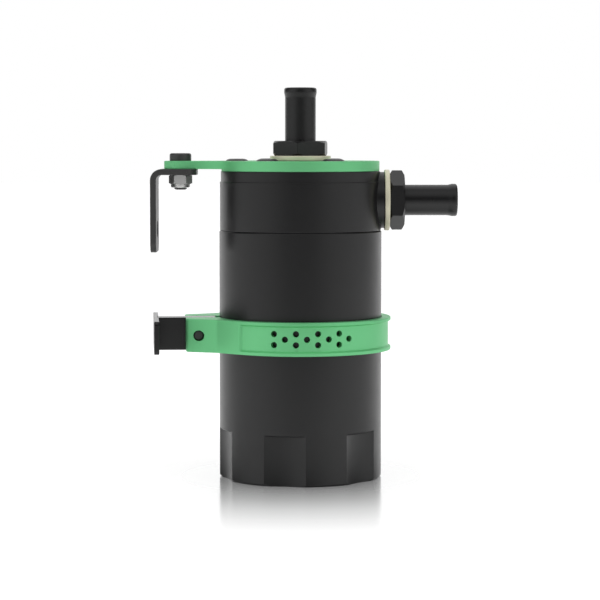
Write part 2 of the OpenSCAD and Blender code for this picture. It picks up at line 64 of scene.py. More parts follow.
# Places and sizes that several pieces share, most of them read from the frame

can_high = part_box("can_body")[1]
head_low, head_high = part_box("head")
plate_low, plate_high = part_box("bracket_plate")
collar_low, collar_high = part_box("collar")
foot_low, foot_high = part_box("collar_foot")
angle_low, angle_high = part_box("angle_bracket")
bolt_low, bolt_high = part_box("pivot_bolt")
nut_low, nut_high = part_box("lock_nut")
washer_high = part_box("top_seal_washer")[1]
side_washer_low, side_washer_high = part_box("side_seal_washer")

can_r = can_high.y
can_h = can_high.z
head_r = head_high.y
plate_r = plate_high.y
plate_top = plate_high.z
plate_under = plate_low.z
arm_under = angle_high.z
arm_tip = -plate_low.x
collar_r = collar_high.x
collar_mid = (collar_low.z + collar_high.z) / 2
seal_r = washer_high.x
side_port_z = (side_washer_low.z + side_washer_high.z) / 2
pivot = Vector(((bolt_low.x + bolt_high.x) / 2, 0, 0))
screw_seat = plate_top - 1.9 * MM   # under the plate screws' heads
pivot_hole_r = 2.58 * MM

# The collar, its foot and its screw are made square on and then turned about the can
collar_turn = Matrix.Rotation(radians(4.2), 4, "Z")
ear_reach = 45.1 * MM               # from the can's axis to the ears' ends
slot_half = 4.05 * MM               # half the width of the slot between the ears
clamp_x = -40.3 * MM                # the clamp screw's axis
clamp_hole_r = 2.1 * MM
clamp_seat_y = 7.985 * MM           # under the clamp screw's head
clamp_tip_y = -11.96 * MM
clamp_head_h = 4 * MM


# Outlines and meshes

def arc(cx, cy, r, start, end, count):
    """Points on an arc, angles in degrees, both ends included."""
    span = radians(end - start)
    return [(cx + r * cos(radians(start) + span * i / count),
             cy + r * sin(radians(start) + span * i / count)) for i in range(count + 1)]


def eased(corners):
    """A closed outline of (x, y, radius) corners, each corner rounded by its own radius."""
    points = []
    for i, (x, y, r) in enumerate(corners):
        here = Vector((x, y))
        before = Vector(corners[i - 1][:2]) - here
        after = Vector(corners[(i + 1) % len(corners)][:2]) - here
        half = before.angle(after) / 2 if r > 0 else 0
        nearly_straight = half > pi / 2 - 0.01
        if r <= 0 or nearly_straight:
            points.append((x, y))
            continue
        before.normalize()
        after.normalize()
        centre = here + (before + after).normalized() * (r / sin(half))
        first = here + before * r / tan(half) - centre
        last = here + after * r / tan(half) - centre
        turn = first.angle_signed(last)
        for k in range(EDGE_STEPS + 1):
            spoke = first.copy()
            spoke.rotate(Matrix.Rotation(-turn * k / EDGE_STEPS, 2))
            points.append(tuple(centre + spoke))
    return points


def inset(outline, amounts):
    """A closed outline, listed anticlockwise, with each point moved inwards by its own amount,
    and by up to twice that at a sharp corner."""
    moved = []
    for i, amount in enumerate(amounts):
        here = Vector(outline[i])
        into = (here - Vector(outline[i - 1])).normalized()
        onward = (Vector(outline[(i + 1) % len(outline)]) - here).normalized()
        middle = Vector((-into.y - onward.y, into.x + onward.x)).normalized()
        lean = max(0.5, middle.dot(Vector((-onward.y, onward.x))))
        moved.append(tuple(here + middle * amount / lean))
    return moved


def rounded_edge(ease):
    """(Inset, height) pairs up a rounded lower edge, from the flat face to the wall."""
    quarter = [pi / 2 * k / EDGE_STEPS for k in range(EDGE_STEPS + 1)]
    return [(ease * (1 - sin(a)), ease * (1 - cos(a))) for a in quarter]


def new_piece(name, bm):
    """Turns finished faces into a piece in the scene."""
    mesh = bpy.data.meshes.new(name)
    bmesh.ops.recalc_face_normals(bm, faces=bm.faces)
    bm.to_mesh(mesh)
    bm.free()
    piece = bpy.data.objects.new(name, mesh)
    bpy.context.scene.collection.objects.link(piece)
    return piece


def skin(bm, rows):
    """Faces between neighbouring closed rows of vertices."""
    for low, high in zip(rows, rows[1:]):
        for i in range(len(low)):
            k = (i + 1) % len(low)
            corners = list(dict.fromkeys([low[i], low[k], high[k], high[i]]))
            if len(corners) > 2:
                bm.faces.new(corners)


def cap(bm, loops):
    """Fills the flat face inside the first loop of vertices and outside the others."""
    edges = [bm.edges.get((loop[i - 1], loop[i])) for loop in loops for i in range(len(loop))]
    bmesh.ops.triangle_fill(bm, use_beauty=True, use_dissolve=False, edges=edges)


def even_turns(count):
    """Evenly spaced angles, all the way round."""
    return [2 * pi * i / count for i in range(count)]


def turned(name, profile, ring=False, turns=None):
    """Joins rings about Z, given as (radius, height); either may be a function of the angle.
    A ring piece's profile is closed, and any other starts and ends on the axis."""
    bm = bmesh.new()
    turns = turns or even_turns(STEPS)
    rows = []
    for r, z in profile:
        if not callable(r) and r < WELD:
            rows.append([bm.verts.new((0, 0, z))] * len(turns))
            continue
        row = []
        for angle in turns:
            reach = r(angle) if callable(r) else r
            height = z(angle) if callable(z) else z
            row.append(bm.verts.new((reach * cos(angle), reach * sin(angle), height)))
        rows.append(row)
    skin(bm, rows + rows[:1] if ring else rows)
    return new_piece(name, bm)


def in_steps(profile, step):
    """Adds rings up the tall walls of a profile, so that a cut disturbs only the faces next to it."""
    points = profile[:1]
    for (r, z), (next_r, next_z) in zip(profile, profile[1:]):
        count = max(1, int(abs(next_z - z) / step))
        points += [(r + (next_r - r) * i / count, z + (next_z - z) * i / count) for i in range(1, count + 1)]
    return points


def thread(r, depth, low, high, pitch=2 * MM):
    """Rings of a right-hand thread that runs out at both ends; a negative depth cuts into a shaft."""
    rings_a_turn = 10

    def at(z):
        share = max(0.0, min(1.0, (z - low) / pitch, (high - z) / pitch))
        return lambda angle: r + depth * share * (1 - abs(2 * ((z / pitch - angle / (2 * pi)) % 1) - 1))

    count = ceil((high - low) / (pitch / rings_a_turn))
    heights = [low + (high - low) * k / count for k in range(count + 1)]
    return [(at(z), z) for z in heights]


def hole(x, y, r, low, high, ease):
    """A drilled hole for slab(): its middle, and its (radius, height) rings from the top down."""
    rim = rounded_edge(ease)
    return x, y, ([(r + back, high - rise) for back, rise in rim] +
                  [(r + back, low + rise) for back, rise in reversed(rim)])


def drill(bm, holes):
    """Adds the walls of some holes, and returns their top and bottom loops."""
    tops, bottoms = [], []
    for x, y, rings in holes:
        rows = [[bm.verts.new((x + r * cos(a), y + r * sin(a), z)) for a in even_turns(HOLE_STEPS)]
                for r, z in rings]
        skin(bm, rows)
        tops.append(rows[0])
        bottoms.append(rows[-1])
    return tops, bottoms


def slab(name, outline, low, high, ease, holes=()):
    """A flat piece with rounded edges, from z = low to z = high, with holes through it."""
    bm = bmesh.new()
    edge = rounded_edge(ease)
    levels = [(back, low + rise) for back, rise in edge]
    levels += [(back, high - rise) for back, rise in reversed(edge)]
    rows = [[bm.verts.new((x, y, z)) for x, y in inset(outline, [back] * len(outline))]
            for back, z in levels]
    skin(bm, rows)
    tops, bottoms = drill(bm, holes)
    cap(bm, [rows[-1]] + tops)
    cap(bm, [rows[0]] + bottoms)
    return new_piece(name, bm)


def folded(name, sections):
    """A solid through sections of equally many points, such as a bent sheet."""
    bm = bmesh.new()
    rows = [[bm.verts.new(point) for point in section] for section in sections]
    skin(bm, rows)
    bm.faces.new(rows[0])
    bm.faces.new(rows[-1])
    return new_piece(name, bm)


def rod(name, start, end, r, steps=HOLE_STEPS):
    """A plain drill between two points."""
    start, end = Vector(start), Vector(end)
    length = (end - start).length
    piece = turned(name, [(0, 0), (r, 0), (r, length), (0, length)], turns=even_turns(steps))
    facing = (end - start).to_track_quat("Z", "Y").to_matrix().to_4x4()
    piece.data.transform(Matrix.Translation(start) @ facing)
    return piece


def merge(pieces):
    """Puts the meshes of several pieces into the first one."""
    first = pieces[0]
    bm = bmesh.new()
    for piece in pieces:
        bm.from_mesh(piece.data)
    bm.to_mesh(first.data)
    bm.free()
    for piece in pieces[1:]:
        bpy.data.objects.remove(piece)
    return first


def carve(piece, tool, operation="DIFFERENCE"):
    """Cuts a tool out of a piece, or joins it on, and keeps the result as the piece's mesh."""
    step = piece.modifiers.new("carve", "BOOLEAN")
    step.object, step.operation, step.solver = tool, operation, "EXACT"
    bpy.context.view_layer.update()
    result = bpy.data.meshes.new_from_object(piece.evaluated_get(bpy.context.evaluated_depsgraph_get()))
    piece.modifiers.clear()
    old, piece.data = piece.data, result
    bpy.data.meshes.remove(old)
    bpy.data.objects.remove(tool)


def shade(piece):
    """Smooth shading that follows the large faces and breaks at the sharp edges."""
    bm = bmesh.new()
    bm.from_mesh(piece.data)
    bmesh.ops.remove_doubles(bm, verts=bm.verts, dist=WELD)
    bmesh.ops.dissolve_degenerate(bm, edges=bm.edges, dist=WELD)
    bm.to_mesh(piece.data)
    bm.free()
    piece.data.shade_smooth()
    piece.data.set_sharp_from_angle(angle=CREASE)
    weighted = piece.modifiers.new("even shading", "WEIGHTED_NORMAL")
    weighted.keep_sharp = True
    weighted.weight = 90


def finish(piece, node, material, place=None):
    """Puts a piece where its node is, lets it stand for that node, and gives it its finish."""
    if place is not None:
        piece.data.transform(place)
    shade(piece)
    piece.data.materials.clear()
    piece.data.materials.append(material)
    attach(piece, home[node])
    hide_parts(node)


def hexagon_reach(flats, corner_r, turn=0.0):
    """Distance from the axis to the side of a hexagon with rounded corners, as a function of the angle."""
    centre = (flats / 2 - corner_r) / cos(pi / 6)
    flat_end = atan2((flats / 2 - corner_r) * tan(pi / 6), flats / 2)

    def reach(angle):
        off = abs((angle - radians(turn)) % (pi / 3) - pi / 6)
        if off <= flat_end:
            return flats / 2 / cos(off)
        spread = pi / 6 - off
        return centre * cos(spread) + sqrt(max(0.0, corner_r ** 2 - (centre * sin(spread)) ** 2))
    return reach


def hexagon_turns(turn=0.0, flat_steps=20, corner=2.4):
    """Angles round a hexagon, close together within corner degrees of its corners."""
    corner_steps = 3                # to each side of a corner's middle
    angles = []
    for i in range(6):
        middle = turn + 60 * i
        angles += [middle + corner * (k - corner_steps) / corner_steps for k in range(2 * corner_steps)]
        angles += [middle + corner + (60 - 2 * corner) * k / flat_steps for k in range(flat_steps)]
    return [radians(a) for a in angles]


def chamfered(reach, start_r, z, way):
    """Height of a hexagon's upper (way 1) or lower (way -1) end, turned down beyond start_r."""
    return lambda angle: z - way * CORNER_FALL * max(0.0, reach(angle) - start_r)


# Shader maths

class Wire:
    """A socket in a material's maths; each operator adds one Math node."""

    def __init__(self, maker, socket):
        self.maker, self.socket = maker, socket

    def output(self, name):
        """Another output of the same node."""
        return Wire(self.maker, self.socket.node.outputs[name])

    def _math(self, operation, *values):
        return self.maker.node("ShaderNodeMath", {"operation": operation}, *values)

    def __add__(self, other):
        return self._math("ADD", self, other)

    def __sub__(self, other):
        return self._math("SUBTRACT", self, other)

    def __rsub__(self, other):
        return self._math("SUBTRACT", other, self)

    def __mul__(self, other):
        return self._math("MULTIPLY", self, other)

    __radd__, __rmul__ = __add__, __mul__

    def clamp(self):
        return self._math("MINIMUM", self._math("MAXIMUM", self, 0.0), 1.0)


class Shader:
    """One node material, or the world: makes its nodes and links their sockets."""

    def __init__(self, tree):
        self.tree = tree
        self.tree.nodes.clear()

    def node(self, kind, settings=None, *values, out=0, **named):
        """Adds a node; settings come first, then the values or links of its sockets."""
        node = self.tree.nodes.new(kind)
        for key, value in (settings or {}).items():
            if key == "stops":
                for i, (at, colour) in enumerate(value):
                    stop = node.color_ramp.elements[i] if i < 2 else node.color_ramp.elements.new(at)
                    stop.position, stop.color = at, colour
            else:
                setattr(node, key, value)
        for i, value in enumerate(values):
            self.feed(node.inputs[i], value)
        for key, value in named.items():
            self.feed(node.inputs[key.replace("_", " ")], value)
        return Wire(self, node.outputs[out]) if len(node.outputs) else None

    def feed(self, socket, value):
        if isinstance(value, Wire):
            self.tree.links.new(value.socket, socket)
        else:
            socket.default_value = value

    def mix(self, share, first, second):
        """The first colour where share is 0, the second where it is 1."""
        return self.node("ShaderNodeMix", {"data_type": "RGBA"}, out="Result",
                         Factor=share, A=first, B=second)

    def noise(self, where, scale, detail=3.0, roughness=0.55):
        return self.node("ShaderNodeTexNoise", Vector=where, Scale=scale, Detail=detail, Roughness=roughness)

    def surface(self, result):
        """What the material shows in the end."""
        self.node("ShaderNodeOutputMaterial", Surface=result)


def new_material(name):
    """A material and the maker of its nodes."""
    made = bpy.data.materials.new(name)
    made.use_nodes = True
    return made, Shader(made.node_tree)


def seen_directly(shader):
    """Two shares: 1 for what the camera sees, and 1 for what the camera, a reflection or glass sees."""
    camera = shader.node("ShaderNodeLightPath", out="Is Camera Ray")
    return camera, (camera + camera.output("Is Glossy Ray") + camera.output("Is Transmission Ray")).clamp()


def fade(value, start, end):
    """0 up to start, and from there evenly up to 1 at end."""
    return ((value - start) * (1 / (end - start))).clamp()


def grey_ramp(shader, stops, where):
    """A grey level along a value; its first two stops are the ramp's two ends."""
    colours = [(at, (grey, grey, grey, 1)) for at, grey in stops]
    return shader.node("ShaderNodeValToRGB", {"stops": colours}, where)


def satin_metal(name, colour, shade_colour, metallic, rough, grain, depth, axis=None):
    """A finished metal: cloudy colour, uneven gloss, and a fine grain or turning marks about an axis.
    Clouds, smudges and grain are counted per metre; the grain's depth is in metres."""
    clouds, smudges = 55.0, 190.0
    stretch = 0.02                  # turning marks run round the axis, nearly alike all the way
    made, shader = new_material(name)
    where = shader.node("ShaderNodeTexCoord", out="Object")
    cloud = shader.noise(where, clouds, 4.0)
    smudge = shader.noise(where, smudges)
    tone = shader.mix(((cloud - 0.5) * 0.5 + 0.5).clamp(), (*colour, 1), (*shade_colour, 1))
    if axis is None:
        marks = shader.noise(where, grain, 2.0)
    else:
        along = [stretch, stretch, stretch]
        along[axis] = 1.0
        marks = shader.noise(shader.node("ShaderNodeMapping", Vector=where, Scale=along), grain, 3.0, 0.65)
    gloss = (smudge - 0.5) * 0.10 + (marks - 0.5) * 0.08 + rough
    bump = shader.node("ShaderNodeBump", Strength=1.0, Distance=depth, Height=marks)
    shader.surface(shader.node("ShaderNodeBsdfPrincipled", Base_Color=tone, Metallic=metallic,
                               Roughness=gloss, Normal=bump))
    return made


BLACK, BLACK_SHADE = (0.004, 0.004, 0.0044), (0.0068, 0.0068, 0.0073)
GREEN, GREEN_SHADE = (0.195, 0.70, 0.305), (0.175, 0.64, 0.275)

black_turned = satin_metal("black anodised, turned", BLACK, BLACK_SHADE,
                           metallic=0.0, rough=0.33, grain=5200.0, depth=4e-6, axis=2)
black_turned_side = satin_metal("black anodised, turned along X", BLACK, BLACK_SHADE,
                                metallic=0.0, rough=0.30, grain=5200.0, depth=4e-6, axis=0)
black_milled = satin_metal("black anodised, milled", BLACK, BLACK_SHADE,
                           metallic=0.0, rough=0.22, grain=2600.0, depth=5e-6)
green_anodised = satin_metal("green anodised", GREEN, GREEN_SHADE,
                             metallic=0.5, rough=0.44, grain=3000.0, depth=4e-6)
black_oxide = satin_metal("black oxide steel", (0.05, 0.05, 0.053), (0.075, 0.073, 0.072),
                          metallic=0.35, rough=0.38, grain=2400.0, depth=6e-6)
black_coat = satin_metal("satin black coat", (0.034, 0.034, 0.035), (0.052, 0.051, 0.05),
                         metallic=0.0, rough=0.40, grain=1500.0, depth=1.2e-5)
bright_zinc = satin_metal("bright zinc", (0.86, 0.86, 0.85), (0.70, 0.70, 0.69),
                          metallic=0.75, rough=0.36, grain=1800.0, depth=5e-6)
yellow_zinc = satin_metal("yellow zinc", (0.82, 0.79, 0.61), (0.76, 0.72, 0.53),
                          metallic=0.3, rough=0.42, grain=1600.0, depth=5e-6)
bronze = satin_metal("sintered bronze", (0.36, 0.22, 0.10), (0.22, 0.13, 0.06),
                     metallic=1.0, rough=0.55, grain=2200.0, depth=9e-5)
bare_metal = satin_metal("bare machined metal", (0.62, 0.62, 0.63), (0.50, 0.50, 0.51),
                         metallic=1.0, rough=0.30, grain=4200.0, depth=5e-6, axis=2)


def moulded(name, colour, rough):
    """Rubber or plastic: a fine texture and a faint bloom."""
    texture, blooms, paler = 2400.0, 240.0, 1.7
    made, shader = new_material(name)
    where = shader.node("ShaderNodeTexCoord", out="Object")
    fine = shader.noise(where, texture, 2.0)
    bloom = shader.noise(where, blooms)
    tone = shader.mix(bloom, (*colour, 1), (*(c * paler for c in colour), 1))
    bump = shader.node("ShaderNodeBump", Strength=1.0, Distance=1.5e-5, Height=fine)
    shader.surface(shader.node("ShaderNodeBsdfPrincipled", Base_Color=tone, Normal=bump,
                               Roughness=(bloom - 0.5) * 0.15 + rough))
    return made


rubber = moulded("black rubber", (0.012, 0.012, 0.012), 0.6)
nylon = moulded("nylon insert", (0.42, 0.41, 0.38), 0.45)


# The can

def make_can():
    """The can: round rings above, and below them rings with the six flutes' hollows."""
    foot = 0.8 * MM                 # chamfer round the underside
    lip = 0.5 * MM                  # chamfer round the mouth
    floor = 5 * MM
    floor_soft = 1.5 * MM
    bore_r = 27.2 * MM
    mouth_r = 28.6 * MM             # the threaded mouth
    mouth_low = can_h - 10.5 * MM
    seat_r = 30.4 * MM              # the O-ring's seat
    seat_z = can_h - 1.9 * MM
    thread_depth = 0.5 * MM
    thread_low = mouth_low + 1.5 * MM
    thread_high = seat_z - 0.5 * MM
    seat_soft = 0.15 * MM
    soft = 0.25 * MM
    ledge_soft = 0.9 * MM           # where the can's side runs out above a flute
    flutes = 6
    first = radians(18.8)           # middle of the first flute
    flute_r = 30 * MM
    flute_depth = 2.2 * MM
    flute_h = 19.2 * MM
    flute_steps = 26                # facets across a flute, and across the land beside it
    hair = 0.01 * MM                # between the flutes' upper ends and their shoulders
    plain = 2 * MM                  # from the flutes' upper ends to the first ring of the plain side
    centre = can_r - flute_depth + flute_r
    half = acos((centre ** 2 + can_r ** 2 - flute_r ** 2) / (2 * centre * can_r))
    pitch = 2 * pi / flutes
    turns = []
    for i in range(flutes):
        start = first + i * pitch - half
        turns += [start + 2 * half * k / flute_steps for k in range(flute_steps)]
        turns += [start + 2 * half + (pitch - 2 * half) * k / flute_steps for k in range(flute_steps)]

    def hollow(angle):
        """Distance from the axis to a flute's face, or to the can's side between the flutes."""
        off = (angle - first + pitch / 2) % pitch - pitch / 2
        if abs(off) >= half - 1e-6:
            return can_r
        return centre * cos(off) - sqrt(flute_r ** 2 - (centre * sin(off)) ** 2)

    def under(r):
        return lambda angle: min(r, hollow(angle))

    def shoulder(r):
        return lambda angle: max(r, hollow(angle))

    # The end corners of heel, and the last one of body, only give a direction
    heel = eased([(0, 0, 0), (can_r - foot, 0, soft), (can_r, foot, soft), (can_r, flute_h, 0)])
    profile = [(0, 0)] + [(under(r), z) for r, z in heel[1:-1]] + [(hollow, flute_h - hair)]
    profile += [(shoulder(can_r - back), flute_h + rise) for back, rise in rounded_edge(ledge_soft)]
    body = eased([(can_r, flute_h + plain, 0), (can_r, can_h - lip, soft), (can_r - lip, can_h, soft),
                  (seat_r, can_h, seat_soft), (seat_r, seat_z, 0), (mouth_r, seat_z, seat_soft),
                  (mouth_r, 0, 0)])
    profile += body[:-1] + thread(mouth_r, thread_depth, thread_low, thread_high)[::-1]
    profile += eased([(mouth_r, mouth_low, 0), (bore_r, mouth_low, 0), (bore_r, floor, floor_soft),
                      (0, floor, 0)])
    finish(turned("can", profile, turns=turns), "can_body", black_turned)


# The head

def make_head():
    """The head: a turned casting with a raised seat on top and a low boss round the side port."""
    spigot_r = 28.5 * MM            # the threaded spigot inside the can's mouth
    spigot_low = head_low.z
    thread_depth = 0.5 * MM
    thread_low = spigot_low + 1.6 * MM
    thread_high = can_h - 1.6 * MM
    band_low = plate_under - 4.1 * MM
    band_step = 0.4 * MM            # the band under the plate is this much narrower
    seat_r = 12.2 * MM              # the raised seat of the top fitting
    chamber_r = 22.4 * MM
    chamber_top = 111 * MM
    post_r = 13 * MM                # the post that the filter hangs from
    post_low = 89 * MM
    passage_r = 5.5 * MM
    port_r = 8.35 * MM
    port_floor = 110 * MM
    port_depth = 14 * MM
    boss_r = 11 * MM
    boss_face = head_high.x
    boss_length = boss_face - chamber_r - 0.2 * MM   # it starts inside the head's wall
    boss_steps = 144
    ring_gap = 1.6 * MM             # between the rings that a cut meets
    soft = 0.25 * MM
    lower = eased([(chamber_r, spigot_low, 0), (spigot_r, spigot_low, 0.4 * MM),
                   (spigot_r, thread_low - 0.1 * MM, 0)])
    upper = eased([(spigot_r, thread_high + 0.4 * MM, 0), (spigot_r, can_h, 0), (head_r, can_h, soft),
                   (head_r, band_low, 0.12 * MM), (head_r - band_step, band_low, 0.1 * MM),
                   (head_r - band_step, plate_under, soft), (seat_r, plate_under, 0),
                   (seat_r, plate_top, soft), (port_r, plate_top, soft), (port_r, port_floor, 0),
                   (passage_r, port_floor, 0), (passage_r, post_low, 0), (post_r, post_low, 0),
                   (post_r, chamber_top, 0), (chamber_r, chamber_top, 0)])
    cut = thread(spigot_r, -thread_depth, thread_low, thread_high)
    head = turned("head_casting", lower + cut + in_steps(upper, ring_gap), ring=True)
    boss_profile = eased([(0, 0, 0), (boss_r, 0, 0), (boss_r, boss_length, soft), (0, boss_length, 0)])
    boss = turned("boss", boss_profile, turns=even_turns(boss_steps))
    sideways = Matrix.Rotation(pi / 2, 4, "Y")
    boss.data.transform(Matrix.Translation((boss_face - boss_length, 0, side_port_z)) @ sideways)
    carve(head, boss, "UNION")
    port_end, beyond = boss_face - port_depth, boss_face + MM
    carve(head, rod("port", (port_end, 0, side_port_z), (beyond, 0, side_port_z), port_r))
    finish(head, "head", black_turned)


# The bracket plate

def plate_screw_places():
    """Four screws on a circle, and one at the arm's root."""
    circle_r = 18 * MM
    root_x = -24.8 * MM
    corners = [radians(45 + 90 * i) for i in range(4)]
    return [(circle_r * cos(angle), circle_r * sin(angle)) for angle in corners] + [(root_x, 0)]


def arm_corners():
    """The arm's +Y side from the disc to the tip, which is a round hollow and then the tip's cut
    corner, and the angle on the disc, in degrees, where it starts."""
    pad = 8.5 * MM                  # half the width of the tip
    cut = 4.2 * MM                  # of the tip's corners
    neck = 6.2 * MM                 # half the width at the arm's narrowest place
    hollow = 16 * MM                # radius of the arm's hollow sides
    hollow_steps = 40
    hollow_soft = 0.4 * MM
    tip_soft = 3 * MM
    middle = Vector((-sqrt((plate_r + hollow) ** 2 - (neck + hollow) ** 2), neck + hollow))
    corner, slant = Vector((-arm_tip, pad - cut)), Vector((1, 1)).normalized()
    along = (middle - corner).dot(slant)
    aside = (middle - corner) - slant * along
    meet = corner + slant * (along - sqrt(hollow ** 2 - aside.length_squared))
    leave = degrees(atan2(-middle.y, -middle.x))
    join = degrees(atan2(meet.y - middle.y, meet.x - middle.x)) % 360 - 360
    side = [(x, y, 0) for x, y in arc(middle.x, middle.y, hollow, leave, join, hollow_steps)[:-1]]
    return side + [(meet.x, meet.y, hollow_soft), (corner.x, corner.y, tip_soft)], 180 + leave


def make_plate():
    """The plate: a disc, and an arm that is a little thinner from below."""
    centre_hole_r = 12.3 * MM
    screw_seat_r = 4.85 * MM
    screw_hole_r = 2.6 * MM
    soft = 0.3 * MM
    hole_soft = 0.1 * MM
    seen_steps = 200                # round the disc's free side
    hidden_steps = 40               # round its side below the arm's root
    run_out = 4                     # points over which the arm's lower rounding runs out at the disc
    side, leave = arm_corners()
    arm = eased(side + [(x, -y, r) for x, y, r in reversed(side)])
    seen = arc(0, 0, plate_r, 360 - leave, leave + 360, seen_steps)[1:-1]
    hidden = arc(0, 0, plate_r, leave, 360 - leave, hidden_steps)[1:-1]
    edge = rounded_edge(soft)
    away = [min(1.0, min(i, len(arm) - 1 - i) / run_out) for i in range(len(arm))] + [0] * len(seen)
    bm = bmesh.new()

    def ring_of(outline, amounts, z):
        return [bm.verts.new((x, y, z)) for x, y in inset(outline, amounts)]

    # The whole plate's wall, from the arm's underside up
    outline = arm + seen
    rows = [ring_of(outline, [back * share for share in away], arm_under + rise) for back, rise in edge]
    rows += [ring_of(outline, [back] * len(outline), plate_top - rise) for back, rise in reversed(edge)]
    skin(bm, rows)

    # The disc's own wall, from there down to its underside
    under = rows[0]
    inner = [bm.verts.new((x, y, arm_under)) for x, y in hidden]
    disc = [arm[0]] + hidden + [arm[-1]] + seen
    disc_rows = [[under[0]] + inner + under[len(arm) - 1:]]
    disc_rows += [ring_of(disc, [back] * len(disc), plate_under + rise) for back, rise in reversed(edge)]
    skin(bm, disc_rows)

    holes = [hole(0, 0, centre_hole_r, plate_under, plate_top, soft)]
    counterbore = [(screw_seat_r + back, plate_top - rise) for back, rise in edge]
    counterbore += [(screw_seat_r, screw_seat), (screw_hole_r, screw_seat), (screw_hole_r, plate_under)]
    holes += [(x, y, counterbore) for x, y in plate_screw_places()]
    tops, bottoms = drill(bm, holes)
    pivot_top, pivot_bottom = drill(bm, [hole(pivot.x, 0, pivot_hole_r, arm_under, plate_top, hole_soft)])
    cap(bm, [rows[-1]] + tops + pivot_top)
    cap(bm, [disc_rows[-1]] + bottoms)
    cap(bm, [under[:len(arm)] + inner[::-1]] + pivot_bottom)
    finish(new_piece("bracket_plate_piece", bm), "bracket_plate", green_anodised)


# Screws, bolt and nut

def socket_screw(name, profile, socket_flats, socket_floor):
    """A turned screw standing on Z, with a hexagon socket; its profile ends at the head's top."""
    top = profile[-1][1]
    rim = 0.15 * MM                 # chamfer round the socket
    point = 0.4 * MM                # of the drill, below the socket's floor
    wide = hexagon_reach(socket_flats + 2 * rim, 0.2 * MM)
    tight = hexagon_reach(socket_flats, 0.1 * MM)
    socket = [(wide, top), (tight, top - rim), (tight, socket_floor), (0, socket_floor - point)]
    return turned(name, profile + socket, turns=hexagon_turns(flat_steps=8))


def make_plate_screws():
    """Five screws with low domed heads, sunk in the plate."""
    dome_r = 4.75 * MM
    dome_h = 2.75 * MM
    rim = 1.1 * MM                  # straight part of the head's side
    flat_r = 2.4 * MM               # the head's flat top
    dome_steps = 8
    shank_r = 2.5 * MM
    chamfer = 0.5 * MM
    tip = screw_seat - 9.1 * MM
    socket_flats = 3 * MM
    socket_floor = screw_seat + 1.1 * MM
    socket_turn = 0.4               # radians from the line to the plate's middle
    dome = []
    for k in range(dome_steps + 1):
        turn = pi / 2 * k / dome_steps
        dome.append((flat_r + (dome_r - flat_r) * cos(turn), screw_seat + rim + (dome_h - rim) * sin(turn)))
    side = eased([(0, tip, 0), (shank_r - chamfer, tip, 0), (shank_r, tip + chamfer, 0),
                  (shank_r, screw_seat, 0), (dome_r, screw_seat, 0.15 * MM), (dome_r, screw_seat + rim, 0)])
    screws = []
    for x, y in plate_screw_places():
        screw = socket_screw("plate_screw_set", side[:-1] + dome, socket_flats, socket_floor)
        turn = Matrix.Rotation(atan2(y, x) + socket_turn, 4, "Z")
        screw.data.transform(Matrix.Translation((x, y, 0)) @ turn)
        screws.append(screw)
    finish(merge(screws), "plate_screws", black_oxide)


def make_pivot_bolt():
    """The cap screw at the arm's tip, with its thread below the L-bracket."""
    head_radius = 4.25 * MM
    head_soft = 0.8 * MM
    flat_r = 2 * MM                 # the head's flat top
    shank_r = 2.5 * MM
    chamfer = 0.6 * MM
    tip = bolt_low.z
    thread_depth = 0.35 * MM
    pitch = 0.8 * MM
    thread_low = tip + 0.4 * MM
    thread_high = arm_under - 3.2 * MM
    socket_flats = 3 * MM
    socket_floor = plate_top + 1.2 * MM
    shank = [(0, tip), (shank_r - chamfer, tip)]
    shank += thread(shank_r, -thread_depth, thread_low, thread_high, pitch)
    head = eased([(shank_r, arm_under, 0), (shank_r, plate_top, 0), (head_radius, plate_top, 0.1 * MM),
                  (head_radius, bolt_high.z, head_soft), (flat_r, bolt_high.z, 0)])
    bolt = socket_screw("pivot_bolt_piece", shank + head, socket_flats, socket_floor)
    finish(bolt, "pivot_bolt", black_oxide, Matrix.Translation(pivot))


def make_lock_nut():
    """The nut, with its plastic insert in a turned crown below the hexagon."""
    height = nut_high.z - nut_low.z
    flats = nut_high.y - nut_low.y
    crown = 1.4 * MM
    crown_r = flats / 2 - 0.2 * MM
    cup_r = flats / 2 - 0.9 * MM    # the crown's hollow, which holds the insert
    bore = 2.55 * MM
    seat = crown - 0.05 * MM        # that hollow's floor
    reach = hexagon_reach(flats, 0.25 * MM)
    start_r = flats / 2 * CORNER_START
    ring = eased([(crown_r, crown, 0), (crown_r, 0, 0.5 * MM), (cup_r, 0, 0.1 * MM), (cup_r, seat, 0),
                  (bore, seat, 0), (bore, height, 0.2 * MM), (start_r, height, 0)])
    sides = [(reach, chamfered(reach, start_r, height, 1)), (reach, chamfered(reach, start_r, crown, -1)),
             (start_r, crown)]
    nut = turned("lock_nut_piece", ring + sides, ring=True, turns=hexagon_turns())
    at_nut = Matrix.Translation(pivot + Vector((0, 0, nut_low.z)))
    finish(nut, "lock_nut", bright_zinc, at_nut)
    out = cup_r - 0.02 * MM
    low, high = 0.25 * MM, crown - 0.1 * MM
    insert = turned("lock_nut_insert_piece", eased([(bore, low, 0.2 * MM), (out, low, 0.15 * MM),
                                                    (out, high, 0), (bore, high, 0)]), ring=True)
    finish(insert, "lock_nut_insert", nylon, at_nut)


